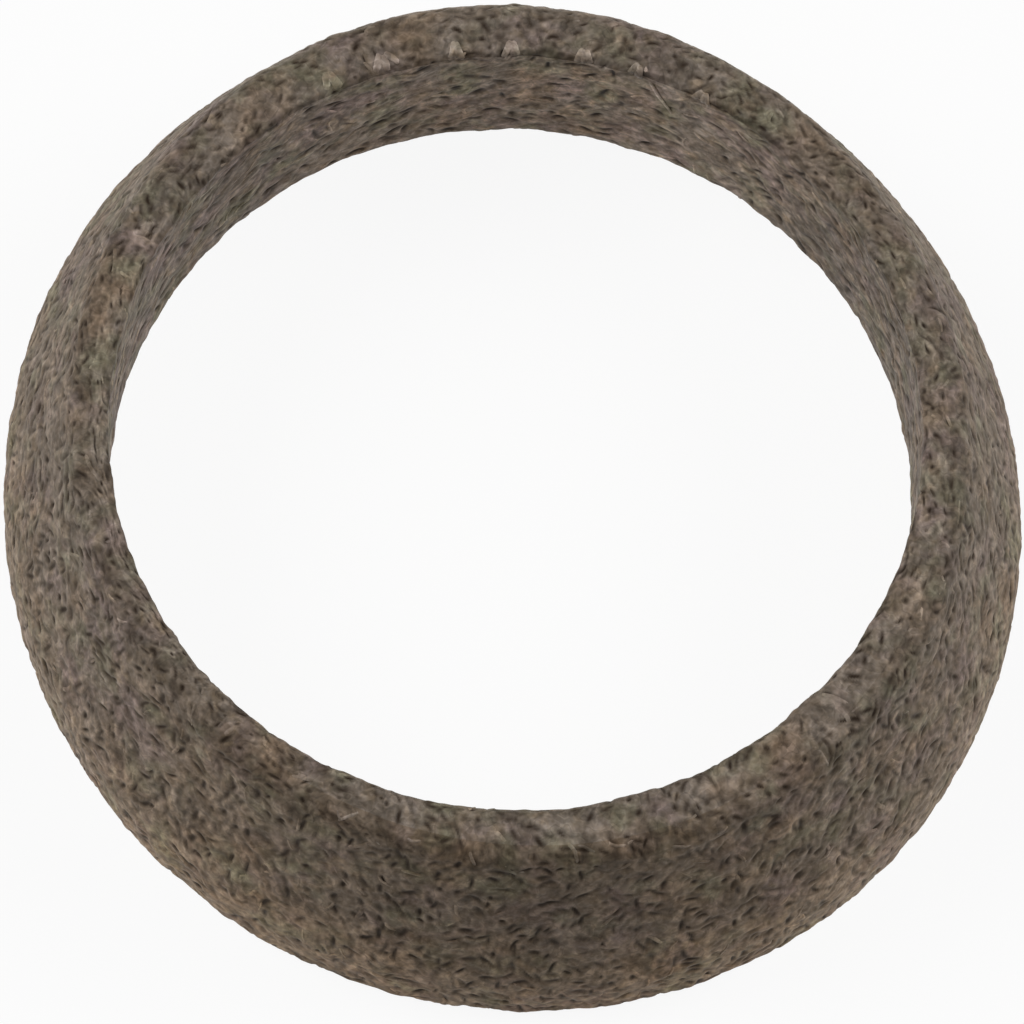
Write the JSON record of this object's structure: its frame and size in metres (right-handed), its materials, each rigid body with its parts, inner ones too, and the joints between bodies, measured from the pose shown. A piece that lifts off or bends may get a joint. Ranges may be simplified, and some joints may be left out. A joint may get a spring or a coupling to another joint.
{
  "type": "exhaust gasket",
  "caption": "Tapered seal ring of pressed steel wire mesh and graphite. It slides over a pipe end and seats in the flared mouth of the next exhaust pipe.",
  "frame": {"origin": "middle of the flat base at the large end, on the axis of the bore", "axes": "+Z along the axis of the bore, out of the small end; X and Y in the plane of the base"},
  "size_m": [0.065, 0.067, 0.016],
  "materials": {
    "wire_mesh": "matte grey-brown pressed wire mesh with dark graphite in its pores"
  },
  "bodies": {
    "root": {"seal_ring": "wire_mesh"}
  },
  "joints": []
}
